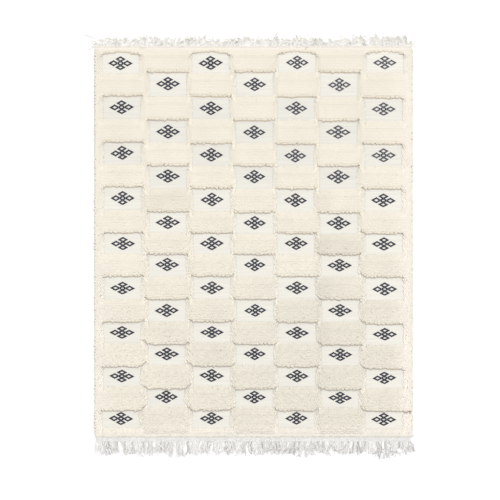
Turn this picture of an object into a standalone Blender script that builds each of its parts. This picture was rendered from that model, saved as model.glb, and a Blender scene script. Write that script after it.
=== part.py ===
"""A beni ourain rug lying flat on the floor.

The rug comes off the loom in one piece. Its body is a flat wool ground with thick wool pile knotted
into it in staggered blocks, which leave flat windows of bare ground between them. The pile leans
towards the rug's bottom end, so each block overhangs the window below it and rises gently from the
window above it. The cotton warp ends are left as a fringe, short at the top end and long at the
bottom end.

Metres, +Z up, with the floor at z = 0. The rug's top end points along +Y. Sizes along the rug are
measured down from the top edge of the body, and the finished rug is centred on the origin.
"""

import math
from typing import NamedTuple

import bmesh
import bpy
from mathutils import Vector

# The body
RUG_WIDTH = 2.000
RUG_LENGTH = 2.450
GROUND_THICKNESS = 0.004
PILE_TOP = 0.018
PILE_NOSE = 0.011  # height of the furthest point of a leaning edge
SIDE_BULGE = 0.009  # height at which the side edge stands out furthest
SIDE_INSET = 0.006  # how far the side edge draws in under that, at the floor
LOCK_REACH = 0.005  # how far the locks along the side edges vary in reach
SHOULDER_INSET = 0.012

# The pile's lumps: their height, and two waves that each wander from a straight line
PILE_LUMP = 0.0012
# radians per metre, how far the wave wanders, and radians per metre of that
LUMPS_ACROSS = (31, 9, 4)
LUMPS_DOWN = (37, 7, 5)

# Flat windows between the pile blocks, measured from the centre of the figure that each one holds
WINDOW_HALF_WIDTH = 0.117
WINDOW_ABOVE = 0.057
WINDOW_BELOW = 0.071
END_WINDOW_ABOVE = 0.048  # the first and last rows of windows are lower
LAST_WINDOW_BELOW = 0.052
WINDOW_UPPER, WINDOW_LOWER = -0.028, 0.035  # cross lines inside a window
WINDOW_INNER = 0.045  # lines down a window, either side of its centre
PILE_SIDE = 0.009  # width of a block's steep side
HAND_WOBBLE = 0.003  # how far a hand-woven window edge strays

# Centre line of each column of windows, from the middle of the rug
COLUMNS = (
    # top end, middle, bottom end
    (-0.836, -0.822, -0.834),
    (-0.538, -0.540, -0.550),
    (-0.272, -0.262, -0.264),
    (0.010, 0.008, 0.004),
    (0.276, 0.267, 0.272),
    (0.543, 0.538, 0.546),
    (0.828, 0.819, 0.820),
)

# Centre line of each row of windows, down from the top edge of the body
ROWS = (
    # left, middle, right
    (0.100, 0.097, 0.095),
    (0.234, 0.232, 0.238),
    (0.379, 0.384, 0.391),
    (0.528, 0.534, 0.537),
    (0.664, 0.680, 0.680),
    (0.808, 0.814, 0.815),
    (0.945, 0.961, 0.961),
    (1.094, 1.105, 1.107),
    (1.231, 1.235, 1.238),
    (1.368, 1.369, 1.372),
    (1.515, 1.514, 1.520),
    (1.657, 1.654, 1.657),
    (1.796, 1.793, 1.806),
    (1.929, 1.925, 1.934),
    (2.069, 2.066, 2.081),
    (2.199, 2.200, 2.206),
    (2.335, 2.333, 2.340),
)
LAST_ROW = len(ROWS) - 1

# Lines that run down the body's upper face past one window or block, as offsets from its centre
ACROSS_OFFSETS = (
    -WINDOW_HALF_WIDTH - PILE_SIDE,
    -WINDOW_HALF_WIDTH,
    -WINDOW_INNER,
    WINDOW_INNER,
    WINDOW_HALF_WIDTH,
    WINDOW_HALF_WIDTH + PILE_SIDE,
)
PLACES = [(column, offset) for column in range(len(COLUMNS)) for offset in ACROSS_OFFSETS]

# Lines that cross the body at each row. Over a window they are the leaning edge of the block above
# it and two lines of the ground; over a block they are its gentle rise from the window above it.
CROSS_LINES = {
    # line: offset of a block's line from the row's centre, share of the pile's height there
    "brow": (-0.069, 0.0),
    "nose": (-0.058, 0.45),
    "foot": (-0.044, 0.85),
    "upper": (WINDOW_UPPER, 1.0),
    "lower": (WINDOW_LOWER, 1.0),
}
BROW_BACK = 0.012  # how far before the window a block's leaning edge starts to turn down
NOSE_REACH = 0.003
FOOT_BACK = 0.004
CORNER_ROUNDING = 0.009  # how far a leaning edge draws back at the block's lower corners

# Top and bottom edges of the body
TOP_EDGE = ((0.000, 0.0), (0.009, 0.6), (0.022, 1.0))  # down, share of the pile
LAST_RISE = ((0.012, 0.7), (0.026, 1.0))  # below the last windows, share of the pile
BOTTOM_BROW = 0.014
BOTTOM_NOSE_REACH = 0.003
BOTTOM_LOCK_REACH = 0.0015

# Fringes
HEADING_GAP = 0.0003
HEADING_THICKNESS = 0.0038
HEADING_SECTIONS = 10
FRINGE_HALF_WIDTH = 0.992
STRAND_COUNT = 90
STRANDS_IN_CLUMP = 3
STRAND_PITCH = 2 * FRINGE_HALF_WIDTH / STRAND_COUNT
STRAND_ROOT_WIDTH = 0.0100
STRAND_TIP_WIDTH = 0.0055
STRAND_TIP_HEIGHT = 0.0030
STRAND_TOP_SHARE = 0.6  # a strand's upper side is this much narrower than its lower one
CURL_SHARE = 0.3  # how far a strand bows in its middle, as a share of its clump's sway
LEAN_CURVE = 1.5  # a strand leans over little at its root and more towards its tip
CORNER_SHARPNESS = 15  # how fast the lean of a corner's strands dies away from the corner


class Fringe(NamedTuple):
    edge: float  # where it starts, down from the top edge of the body
    way: int  # 1 if it points up the rug and -1 if it points down
    heading: float  # width of the twined heading
    lengths: tuple  # of the strands at the left, in the middle and at the right
    spread: float  # how far a strand's length strays
    rings: int  # sections along a strand
    clumping: float  # share of the way to their clump's middle that strands draw in
    sway: float  # how far a clump strays sideways
    left_lean: float  # how far the tips at the left corner lean to the right
    right_lean: float  # the same at the right corner


FRINGES = {
    "fringe_top": Fringe(0.0, 1, 0.006, (0.046, 0.044, 0.066), 0.006, 3, 0.30, 0.009, -0.068, 0.026),
    "fringe_bottom": Fringe(
        RUG_LENGTH, -1, 0.022, (0.091, 0.092, 0.091), 0.010, 4, 0.45, 0.006, 0.004, 0.054
    ),
}

WOOL = ("wool_pile", (0.878, 0.823, 0.701), 0.95)
COTTON = ("cotton_warp", (0.84, 0.83, 0.80), 0.90)
SHARP_ANGLE = math.radians(50)


def clear_scene():
    for old in list(bpy.data.objects):
        bpy.data.objects.remove(old)


def material(name, colour, roughness):
    made = bpy.data.materials.new(name)
    made.use_nodes = True
    shader = made.node_tree.nodes["Principled BSDF"]
    shader.inputs["Base Color"].default_value = (*colour, 1.0)
    shader.inputs["Roughness"].default_value = roughness
    shader.inputs["Metallic"].default_value = 0.0
    return made


def parabola(first, middle, last, t):
    """The value at t of the parabola through three values at t = -1, 0 and 1."""
    return middle + 0.5 * (last - first) * t + (0.5 * (first + last) - middle) * t * t


def wobble(a, b):
    """A fixed, irregular number from -1 to 1 for each pair of whole numbers."""
    return math.sin(12.9898 * a + 78.233 * b + 3.7 * math.sin(1.7 * a * b + a))


def row_down(row, x):
    return parabola(*ROWS[row], 2 * x / RUG_WIDTH)


def place_x(row, place):
    """Where one of the lines that run down the rug crosses a row."""
    column, offset = PLACES[place]
    return parabola(*COLUMNS[column], 2 * row_down(row, 0.0) / RUG_LENGTH - 1) + offset


def crosses_window(row, place):
    column, offset = PLACES[place]
    return (row + column) % 2 == 0 and abs(offset) <= WINDOW_HALF_WIDTH


def window_above(row):
    return END_WINDOW_ABOVE if row in (0, LAST_ROW) else WINDOW_ABOVE


def window_below(row):
    return LAST_WINDOW_BELOW if row == LAST_ROW else WINDOW_BELOW


def lump(along, beside, wave):
    """A wave along one way of the rug, whose crests wander with the distance beside it."""
    pitch, wander, wander_pitch = wave
    return math.sin(pitch * along + wander * math.sin(wander_pitch * beside))


def pile_height(x, down):
    """Height of the pile's top, which the weaver's knots and use leave gently lumpy."""
    return PILE_TOP + PILE_LUMP * (lump(x, down, LUMPS_ACROSS) + lump(down, x, LUMPS_DOWN)) / 2


def raised(x, down, share):
    """A point of the upper face, with that share of the pile's height above the ground weave."""
    height = GROUND_THICKNESS + share * (pile_height(x, down) - GROUND_THICKNESS)
    return Vector((x, -down, height))


def window_point(row, place, line):
    """A point over a window: on the leaning edge of the block above it, or on the bare ground."""
    x = place_x(row, place)
    centre = row_down(row, x)
    edge = centre - window_above(row) + HAND_WOBBLE * wobble(row, place)
    if abs(PLACES[place][1]) == WINDOW_HALF_WIDTH:
        edge -= CORNER_ROUNDING
    if line == "brow":
        return raised(x, edge - BROW_BACK, 1.0)
    if line == "nose":
        return Vector((x, -(edge + NOSE_REACH), PILE_NOSE))
    if line == "foot":
        return Vector((x, -(edge - FOOT_BACK), GROUND_THICKNESS))
    offset = WINDOW_UPPER if line == "upper" else WINDOW_LOWER
    return raised(x, centre + offset, 0.0)


def block_point(row, place, line):
    """A point on the rise of a block, or on the full pile beside a window."""
    x = place_x(row, place)
    offset, share = CROSS_LINES[line]
    down = row_down(row, x) + offset
    if line == "brow" and row > 0:
        foot_of_last = row_down(row - 1, x) + window_below(row - 1)
        down = foot_of_last + HAND_WOBBLE * wobble(row, PLACES[place][0])
    beside_window = abs(PLACES[place][1]) > WINDOW_HALF_WIDTH
    if beside_window or row == 0:
        share = 1.0
    return raised(x, down, share)


def row_line(row, line):
    """One line of points across the rug, over the windows and blocks of a row."""
    return [
        window_point(row, place, line) if crosses_window(row, place) else block_point(row, place, line)
        for place in range(len(PLACES))
    ]


def top_border_lines():
    lines = []
    for down, share in TOP_EDGE:
        lines.append([raised(place_x(0, place), down, share) for place in range(len(PLACES))])
    return lines


def below_last_windows(below, share_at):
    """A line across, a given distance below the feet of the last row of windows."""
    points = []
    for place in range(len(PLACES)):
        x = place_x(LAST_ROW, place)
        down = row_down(LAST_ROW, x) + window_below(LAST_ROW) + below
        points.append(raised(x, down, share_at(place)))
    return points


def bottom_border_lines():
    lines = [below_last_windows(0.0, lambda place: 0.0 if crosses_window(LAST_ROW, place) else 1.0)]
    for below, share in LAST_RISE:
        lines.append(below_last_windows(below, lambda place, same=share: same))
    brow, nose, foot = [], [], []
    for place in range(len(PLACES)):
        x = place_x(LAST_ROW, place)
        reach = BOTTOM_NOSE_REACH + BOTTOM_LOCK_REACH * wobble(place, LAST_ROW)
        brow.append(raised(x, RUG_LENGTH - BOTTOM_BROW, 1.0))
        nose.append(Vector((x, -RUG_LENGTH - reach, PILE_NOSE)))
        foot.append(raised(x, RUG_LENGTH, 0.0))
    return lines + [brow, nose, foot]


def with_sides(points, line_number):
    """A line of points with the shoulder and the outermost lock of each side edge added to it."""
    ends = []
    for side, end in ((-1, points[0]), (1, points[-1])):
        reach = RUG_WIDTH / 2 - LOCK_REACH * (0.5 + 0.5 * wobble(line_number, side))
        shoulder = Vector((side * (RUG_WIDTH / 2 - SHOULDER_INSET), end.y, end.z))
        lock = Vector((side * reach, end.y, min(SIDE_BULGE, end.z)))
        ends.append((lock, shoulder))
    (left_lock, left_shoulder), (right_lock, right_shoulder) = ends
    return [left_lock, left_shoulder, *points, right_shoulder, right_lock]


def body_lines():
    lines = top_border_lines()
    for row in range(len(ROWS)):
        lines += [row_line(row, line) for line in CROSS_LINES]
    lines += bottom_border_lines()
    return [with_sides(points, number) for number, points in enumerate(lines)]


def face_outwards(bm):
    """Makes the faces agree, and turns them round if the closed shape then has a negative volume."""
    bmesh.ops.recalc_face_normals(bm, faces=bm.faces)
    if bm.calc_volume(signed=True) < 0:
        bmesh.ops.reverse_faces(bm, faces=bm.faces)


def body_mesh():
    """The upper face is a grid bent to the blocks and windows; its rim is extruded to the floor."""
    lines = body_lines()
    last_down, last_across = len(lines) - 1, len(lines[0]) - 1
    bm = bmesh.new()
    bmesh.ops.create_grid(bm, x_segments=last_across, y_segments=last_down, size=1.0)
    for vertex in bm.verts:
        across = round((vertex.co.x + 1) / 2 * last_across)
        down = round((1 - vertex.co.y) / 2 * last_down)
        vertex.co = lines[down][across]
    rim = [edge for edge in bm.edges if edge.is_boundary]
    extruded = bmesh.ops.extrude_edge_only(bm, edges=rim)["geom"]
    for vertex in extruded:
        if isinstance(vertex, bmesh.types.BMVert):
            at_side = abs(vertex.co.x) > RUG_WIDTH / 2 - SHOULDER_INSET / 2
            if at_side:
                vertex.co.x -= math.copysign(SIDE_INSET, vertex.co.x)
            vertex.co.z = 0.0
    loop = [edge for edge in extruded if isinstance(edge, bmesh.types.BMEdge) and edge.is_boundary]
    bmesh.ops.contextual_create(bm, geom=loop)
    face_outwards(bm)
    return bm


def strand_root_x(number):
    """Where a strand leaves the heading. A fraction gives a place between two strands."""
    return -FRINGE_HALF_WIDTH + (number + 0.5) * STRAND_PITCH


def corner_lean(root, fringe):
    """How far a strand's tip leans sideways because it is near one of the rug's corners."""
    share = root / FRINGE_HALF_WIDTH
    lean = fringe.left_lean if share < 0 else fringe.right_lean
    return lean * abs(share) ** CORNER_SHARPNESS


def strand_path(number, fringe):
    """Points on the floor down the middle of one strand, from the heading to its tip."""
    root = strand_root_x(number)
    clump, place_in_clump = divmod(number, STRANDS_IN_CLUMP)
    clump_x = strand_root_x(clump * STRANDS_IN_CLUMP + (STRANDS_IN_CLUMP - 1) / 2)
    length = parabola(*fringe.lengths, root / FRINGE_HALF_WIDTH)
    length += fringe.spread * wobble(clump, place_in_clump)
    lean = fringe.clumping * (clump_x - root) + fringe.sway * wobble(clump, fringe.rings)
    curl = CURL_SHARE * fringe.sway * wobble(clump, -fringe.rings)
    heading_end = -fringe.edge + fringe.way * (HEADING_GAP + fringe.heading)
    points = []
    for ring in range(fringe.rings + 1):
        share = ring / fringe.rings
        aside = lean * share**LEAN_CURVE + curl * math.sin(math.pi * share)
        x = root + aside + corner_lean(root, fringe) * share
        points.append(Vector((x, heading_end + fringe.way * length * share, 0.0)))
    return points


def strand_ring(points, index):
    """Four corners of a strand's section, the lower two on the floor: left, right, right, left."""
    share = index / (len(points) - 1)
    width = STRAND_ROOT_WIDTH + share * (STRAND_TIP_WIDTH - STRAND_ROOT_WIDTH)
    height = HEADING_THICKNESS + share * (STRAND_TIP_HEIGHT - HEADING_THICKNESS)
    ahead = points[min(index + 1, len(points) - 1)] - points[index - 1]
    across = Vector((ahead.y, -ahead.x, 0)).normalized()
    if across.x < 0:
        across = -across
    half, rise = across * width / 2, Vector((0, 0, height))
    low_left, low_right = points[index] - half, points[index] + half
    high_right = points[index] + half * STRAND_TOP_SHARE + rise
    high_left = points[index] - half * STRAND_TOP_SHARE + rise
    return [low_left, low_right, high_right, high_left]


def heading_section(bm, strands, back, front, left, right):
    """Faces of one length of the heading. Returns the root face of each strand that grows from it."""
    stations = [left]
    for number in strands:
        x = strand_root_x(number)
        stations += [x - STRAND_ROOT_WIDTH / 2, x + STRAND_ROOT_WIDTH / 2]
    stations.append(right)
    low = [bm.verts.new((x, front, 0)) for x in stations]
    high = [bm.verts.new((x, front, HEADING_THICKNESS)) for x in stations]
    back_low = [bm.verts.new((x, back, 0)) for x in (left, right)]
    back_high = [bm.verts.new((x, back, HEADING_THICKNESS)) for x in (left, right)]
    bm.faces.new([*low, back_low[1], back_low[0]])
    bm.faces.new([*high, back_high[1], back_high[0]])
    bm.faces.new([*back_low, back_high[1], back_high[0]])
    roots = []
    for place in range(len(stations) - 1):
        face = bm.faces.new([low[place], low[place + 1], high[place + 1], high[place]])
        is_root = place % 2 == 1
        if is_root:
            roots.append(face)
    return roots


def close_heading_end(bm, x, back, front):
    corners = [(x, back, 0), (x, front, 0), (x, front, HEADING_THICKNESS), (x, back, HEADING_THICKNESS)]
    bm.faces.new([bm.verts.new(corner) for corner in corners])


def grow_strand(bm, root_face, points):
    """Extrudes a root face section by section along the strand's path."""
    face = root_face
    for index in range(1, len(points)):
        face = bmesh.ops.extrude_discrete_faces(bm, faces=[face])["faces"][0]
        for vertex, corner in zip(face.verts, strand_ring(points, index)):
            vertex.co = corner


def fringe_mesh(fringe):
    """A heading along the body's end, parted from it by a hair, and the strands that grow from it."""
    back = -fringe.edge + fringe.way * HEADING_GAP
    front = back + fringe.way * fringe.heading
    strands_in_section = STRAND_COUNT // HEADING_SECTIONS
    section_width = strands_in_section * STRAND_PITCH
    bm = bmesh.new()
    roots = []
    for section in range(HEADING_SECTIONS):
        left = -FRINGE_HALF_WIDTH + section * section_width
        first = section * strands_in_section
        strands = range(first, first + strands_in_section)
        roots += heading_section(bm, strands, back, front, left, left + section_width)
    close_heading_end(bm, -FRINGE_HALF_WIDTH, back, front)
    close_heading_end(bm, FRINGE_HALF_WIDTH, back, front)
    for number, face in enumerate(roots):
        grow_strand(bm, face, strand_path(number, fringe))
    bmesh.ops.remove_doubles(bm, verts=bm.verts, dist=1e-6)
    face_outwards(bm)
    return bm


def add_object(name, bm, finish):
    mesh = bpy.data.meshes.new(name)
    bm.to_mesh(mesh)
    bm.free()
    mesh.materials.append(finish)
    mesh.shade_smooth()
    mesh.set_sharp_from_angle(angle=SHARP_ANGLE)
    made = bpy.data.objects.new(name, mesh)
    bpy.context.scene.collection.objects.link(made)
    return made


def centre_on_origin(objects):
    """Moves every piece alike, so that the origin is under the middle of the whole outline."""
    corners = [vertex.co for made in objects for vertex in made.data.vertices]
    middle_x = (min(c.x for c in corners) + max(c.x for c in corners)) / 2
    middle_y = (min(c.y for c in corners) + max(c.y for c in corners)) / 2
    for made in objects:
        made.location = (-middle_x, -middle_y, 0.0)


def main():
    clear_scene()
    wool, cotton = material(*WOOL), material(*COTTON)
    pieces = [add_object("rug_body", body_mesh(), wool)]
    for name, fringe in FRINGES.items():
        pieces.append(add_object(name, fringe_mesh(fringe), cotton))
    centre_on_origin(pieces)


main()
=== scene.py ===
# %% [markdown]
# # A hand-knotted wool rug, dressed for the camera
#
# The rug is one cloth: a flat woven ground with wool pile knotted into it in staggered blocks. Between
# the blocks the ground stays bare in small windows, and each window holds a figure of five dark
# lozenges that are brocaded, which means laid in with an extra yarn while the cloth is woven. Loose
# cotton warp yarns make a short fringe at the top end and a longer one at the bottom end.
#
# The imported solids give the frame: where the rug lies and how large it is. Everything that shows is
# made here: the ground, every tuft of the pile, every stitch of the figures and every fringe yarn.

# %% Load the frame
import math

import bpy
import numpy as np
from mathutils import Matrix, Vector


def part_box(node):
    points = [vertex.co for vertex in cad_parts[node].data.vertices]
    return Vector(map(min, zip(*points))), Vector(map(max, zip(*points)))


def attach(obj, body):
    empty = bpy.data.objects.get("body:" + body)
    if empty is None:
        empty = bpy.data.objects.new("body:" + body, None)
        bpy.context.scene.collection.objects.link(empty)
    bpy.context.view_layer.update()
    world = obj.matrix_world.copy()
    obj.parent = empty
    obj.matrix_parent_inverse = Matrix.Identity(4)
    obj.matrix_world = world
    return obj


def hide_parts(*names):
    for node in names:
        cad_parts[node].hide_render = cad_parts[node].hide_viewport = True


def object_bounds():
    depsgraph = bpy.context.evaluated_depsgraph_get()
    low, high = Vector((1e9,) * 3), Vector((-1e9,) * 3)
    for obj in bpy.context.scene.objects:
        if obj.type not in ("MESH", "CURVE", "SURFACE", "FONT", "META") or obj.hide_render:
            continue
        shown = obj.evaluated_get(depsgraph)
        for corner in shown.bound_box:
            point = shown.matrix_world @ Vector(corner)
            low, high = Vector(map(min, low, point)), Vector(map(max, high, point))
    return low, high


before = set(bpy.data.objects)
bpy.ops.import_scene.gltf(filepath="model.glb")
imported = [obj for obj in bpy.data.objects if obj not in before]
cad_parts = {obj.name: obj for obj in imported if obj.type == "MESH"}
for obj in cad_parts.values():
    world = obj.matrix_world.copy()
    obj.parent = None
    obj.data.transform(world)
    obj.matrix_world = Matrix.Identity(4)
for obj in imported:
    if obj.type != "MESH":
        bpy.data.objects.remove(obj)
cad_low, cad_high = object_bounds()
print("solids:", sorted(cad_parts), "box in mm:", [round(1000 * s, 1) for s in cad_high - cad_low])

# %% [markdown]
# ## Places on the rug
#
# A weaver counts from the edge of the loom, not from the middle of the room. So places on the rug are
# given as *across*, from its middle line to the right, and *down*, from the top edge of the cloth
# towards the long fringe. One function turns them into points of the frame. The rug's own sizes are
# the ones that its solids were built from.

# %% Sizes of the cloth, and places on it
RUG_WIDTH = 2.000
RUG_LENGTH = 2.450
GROUND_THICKNESS = 0.004
PILE_TOP = 0.018

body_low, body_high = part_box("rug_body")
MIDDLE_X = (body_low.x + body_high.x) / 2
TOP_Y = body_high.y


def on_rug(across, down, up):
    """Points of the frame: x is the cloth's middle plus across, y its top edge less down, z is up."""
    across, down, up = np.broadcast_arrays(across, down, up)
    return np.stack((MIDDLE_X + across, TOP_Y - down, up), axis=-1)


print("cloth's middle x and top y in mm:", round(1000 * MIDDLE_X, 1), round(1000 * TOP_Y, 1))

# %% [markdown]
# ## The unevenness of handwork
#
# Nothing on a hand-woven rug is quite straight or quite regular, but the unevenness is soft: rows sway,
# the wool lies in patches, and edges waver. Sums of a few sine waves give that at little cost, and
# seeded phases make it the same on every run. Noise textures could do it too, but only in a material,
# and here it has to move real tufts.

# %% Helpers for soft unevenness
def smooth_step(x, start, end):
    """0 before start and 1 after end; between them 3t² − 2t³, where t is the share of the way."""
    t = np.clip((x - start) / (end - start), 0, 1)
    return t * t * (3 - 2 * t)


def parabola(three, t):
    """The parabola through three values at t = −1, 0 and 1: middle + slope times t + bend times t²."""
    first, middle, last = three
    return middle + (last - first) / 2 * t + ((first + last) / 2 - middle) * t * t


def ripple(x, wavelength, seed):
    """A wavering line from −1 to 1: three sines of 1, 0.61 and 0.37 wavelengths with seeded phases."""
    phases = np.random.default_rng(seed).uniform(0, 2 * math.pi, 3)
    sines = zip((0.5, 0.3, 0.2), (1, 0.61, 0.37), phases)
    return sum(high * np.sin(2 * math.pi * x / (wavelength * part) + phase) for high, part, phase in sines)


PATCH_WAVES = 9


def patches(across, down, size, seed):
    """Cloudy patches from about −1 to 1: waves of 0.7 to 1.4 times this size in seeded directions, added
    up and divided by half their number."""
    full_turn = 2 * math.pi
    random = np.random.default_rng(seed)
    total = 0
    for angle, phase, stretch in random.uniform((0, 0, 0.7), (full_turn, full_turn, 1.4), (PATCH_WAVES, 3)):
        along = across * math.cos(angle) + down * math.sin(angle)
        total = total + np.sin(full_turn * along / (size * stretch) + phase)
    return total / (PATCH_WAVES / 2)


print("a quarter of the way, smooth_step is at", smooth_step(0.25, 0, 1), "of its rise")

# %% [markdown]
# ## Where the windows lie
#
# The windows sit like one colour of a chessboard: every second place of 17 rows and 7 columns, which
# makes 60 of them. The rows sway a little and the columns close in towards the middle of the rug, so
# each row and column is a parabola through three measured places. The edge of the block above a
# window wavers, and at the window's corners it curls up to meet the windows beside it.

# %% The rows and columns of windows
WINDOW_HALF_WIDTH = 0.114
COLUMN_SWAY = 0.007  # the warps' sideways drift, which shows on the right half alone
COLUMNS = (  # how far across, at the top end, the middle and the bottom end
    (-0.836, -0.822, -0.837),
    (-0.538, -0.540, -0.553),
    (-0.272, -0.262, -0.267),
    (0.010, 0.008, 0.001),
    (0.276, 0.267, 0.268),
    (0.543, 0.538, 0.542),
    (0.828, 0.819, 0.816),
)
ROWS = (  # how far down at the left, middle and right, then the window's top above and bottom below that
    (0.102, 0.098, 0.098, 0.0595, 0.061),
    (0.236, 0.231, 0.241, 0.072, 0.074),
    (0.380, 0.384, 0.394, 0.070, 0.070),
    (0.528, 0.534, 0.537, 0.070, 0.067),
    (0.664, 0.680, 0.680, 0.069, 0.067),
    (0.808, 0.814, 0.815, 0.064, 0.075),
    (0.945, 0.961, 0.961, 0.069, 0.070),
    (1.094, 1.105, 1.107, 0.063, 0.065),
    (1.231, 1.235, 1.238, 0.063, 0.064),
    (1.368, 1.369, 1.372, 0.064, 0.072),
    (1.515, 1.515, 1.523, 0.073, 0.066),
    (1.659, 1.656, 1.660, 0.070, 0.067),
    (1.796, 1.792, 1.811, 0.064, 0.064),
    (1.932, 1.929, 1.939, 0.060, 0.066),
    (2.070, 2.066, 2.086, 0.058, 0.061),
    (2.201, 2.200, 2.208, 0.050, 0.058),
    (2.336, 2.333, 2.341, 0.049, 0.056),
)
LAST_ROW = len(ROWS) - 1
LAST_COLUMN = len(COLUMNS) - 1


def window_place(row, column):
    """A window's middle: its column's parabola at its row's mean, less a sine of one wave down the rug
    that fades out to the left, then its row's parabola at that."""
    row_middle = ROWS[row][1]
    across = parabola(COLUMNS[column], 2 * row_middle / RUG_LENGTH - 1)
    fading = smooth_step(across, -0.4, 0.3)
    across = across - COLUMN_SWAY * fading * math.sin(2 * math.pi * row_middle / RUG_LENGTH)
    return across, parabola(ROWS[row][:3], 2 * across / RUG_WIDTH)


places = [(row, column) for row in range(len(ROWS)) for column in range(len(COLUMNS))]
windows = [(row, column, *window_place(row, column)) for row, column in places if (row + column) % 2 == 0]
print("windows:", len(windows))

# %% The edge of a block over a window
CORNER_START = 0.005  # how far inside the window's corner the edge starts to curl up
CORNER_WIDTHS = (0.024, 0.047)  # of the curl, where the blocks are square and where they are rounded
CORNER_HEIGHTS = (0.007, 0.037)
ROUNDING = (1.1, 2.1)  # how far down the rug the corners start to be rounded, and are wholly so
CURL_POWER = 1.2
EDGE_SWAY, SWAY_LENGTH = 0.003, 0.15
ARCH_SWAY, ARCH_SWAY_LENGTH = 0.002, 0.12  # of the top row
ARCH_HEIGHT, ARCH_HALF_WIDTH = 0.007, 0.14
TOOTH_DEPTH, TOOTH_LENGTH = 0.0048, 0.026


def corner_sizes(across, middle, down):
    """Width and height of the curl at a window's corner. Corners are square in the upper half of the rug
    and rounded towards its bottom end. On the right half the left corners are rounded first and the
    right ones last, and a ripple makes no two alike."""
    left_lag = 0.25 - 0.8 * max(middle, 0)
    right_lag = 0.15 + 0.6 * smooth_step(middle, -0.2, 0.05) + 0.6 * max(middle, 0)
    lag = np.where(across < middle, left_lag, right_lag)
    lag = lag + 0.2 * ripple(down + middle + 0.3 * np.sign(across - middle), 0.37, 43)
    rounded = smooth_step(down - lag, *ROUNDING)
    return [small + (large - small) * rounded for small, large in (CORNER_WIDTHS, CORNER_HEIGHTS)]


def block_edge(window, across):
    """How far down the block over a window ends: the window's top plus a wave and teeth one tuft wide,
    and past the corner less a curl, height times q^1.2, where a neighbouring window lies on that side.
    In the top row the wave is an arch, a cosine."""
    row, column, middle, down = window
    aside = across - middle
    sway = EDGE_SWAY * ripple(across, SWAY_LENGTH, 31 * row)
    if row == 0:
        arch = ARCH_HEIGHT * np.cos(math.pi * np.clip(aside / ARCH_HALF_WIDTH, -1, 1))
        sway = ARCH_SWAY * ripple(across, ARCH_SWAY_LENGTH, 7 * column) - arch
    teeth = TOOTH_DEPTH * ripple(across, TOOTH_LENGTH, 5 * row + column)
    width, height = corner_sizes(across, middle, down)
    past = np.clip((np.abs(aside) - (WINDOW_HALF_WIDTH - CORNER_START)) / width, 0, 1)
    curled = row > 0 and ((aside < 0) & (column > 0) | (aside > 0) & (column < LAST_COLUMN))
    lift = np.where(curled, height * past**CURL_POWER, 0)
    return down - ROWS[row][3] + sway + teeth - lift


first_top = block_edge(windows[0], windows[0][2])
print("the first window's top lies this far down in mm:", round(1000 * float(first_top), 1))

# %% [markdown]
# ## Yarn as closed spindles
#
# Tufts, stitches and fringe yarns are all short lengths of yarn that start and end in a point. One
# builder serves them all: it carries a small ring along each path and closes both ends in a point. The
# rings of tens of thousands of items are worked out as one array. A curve object with a bevel would be
# easier, but it makes blunt open tubes with far more faces.
#
# Each spindle gets two UV maps. *lie* runs once around it and along it in metres, so that fibres can
# follow the yarn. *OFBake* gives every item a cell of its own in a square sheet, so that its colours
# can be baked without overlaps.

# %% The spindle builder
CELL_MARGIN = 0.08  # of a cell of the bake sheet


def spindle_faces(sides, rings):
    """The corners of one item's faces as (point, turn, station), and each face's corner count: a fan at
    each end, and quads between the rings. The points are the first end, the rings and the last end."""
    last = rings + 1

    def corner(station, turn):
        """The corner at this station and number of sides round."""
        if station in (0, last):
            return (0 if station == 0 else 1 + rings * sides), turn, station
        return 1 + (station - 1) * sides + turn % sides, turn, station

    corners, counts = [], []
    for j in range(sides):
        faces = [((0, j + 0.5), (1, j + 1), (1, j))]
        faces += [((r, j), (r, j + 1), (r + 1, j + 1), (r + 1, j)) for r in range(1, rings)]
        faces += [((last, j + 0.5), (rings, j), (rings, j + 1))]
        corners += [corner(*place) for face in faces for place in face]
        counts += [len(face) for face in faces]
    return np.array(corners), np.array(counts)


def mesh_from_arrays(name, points, corner_points, face_sizes, maps, values):
    """A mesh from whole arrays: its points, the point of each face corner, the corners of each face, a
    UV map for each name in maps, and a number on each point for each name in values."""
    mesh = bpy.data.meshes.new(name)
    mesh.vertices.add(len(points))
    mesh.vertices.foreach_set("co", points.astype(np.float32).ravel())
    mesh.loops.add(len(corner_points))
    mesh.loops.foreach_set("vertex_index", corner_points.astype(np.int32))
    mesh.polygons.add(len(face_sizes))
    mesh.polygons.foreach_set("loop_start", (np.cumsum(face_sizes) - face_sizes).astype(np.int32))
    for label, places_on_map in maps.items():
        layer = mesh.uv_layers.new(name=label)
        layer.uv.foreach_set("vector", places_on_map.astype(np.float32).ravel())
    for label, numbers in values.items():
        attribute = mesh.attributes.new(label, "FLOAT", "POINT")
        attribute.data.foreach_set("value", numbers.astype(np.float32))
    mesh.update(calc_edges=True)
    mesh.validate()
    mesh.shade_smooth()
    piece = bpy.data.objects.new(name, mesh)
    bpy.context.scene.collection.objects.link(piece)
    return piece


def triangle_count(piece):
    """Triangles in a piece: the corners of its faces less two for each face."""
    return len(piece.data.loops) - 2 * len(piece.data.polygons)


def round_section(sides, start=0.0):
    """The (sideways, upward) points of a circle of radius 1, at even steps of the turn from start."""
    turn = start + 2 * math.pi * np.arange(sides) / sides
    return np.stack((np.cos(turn), np.sin(turn)), axis=-1)


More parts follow.
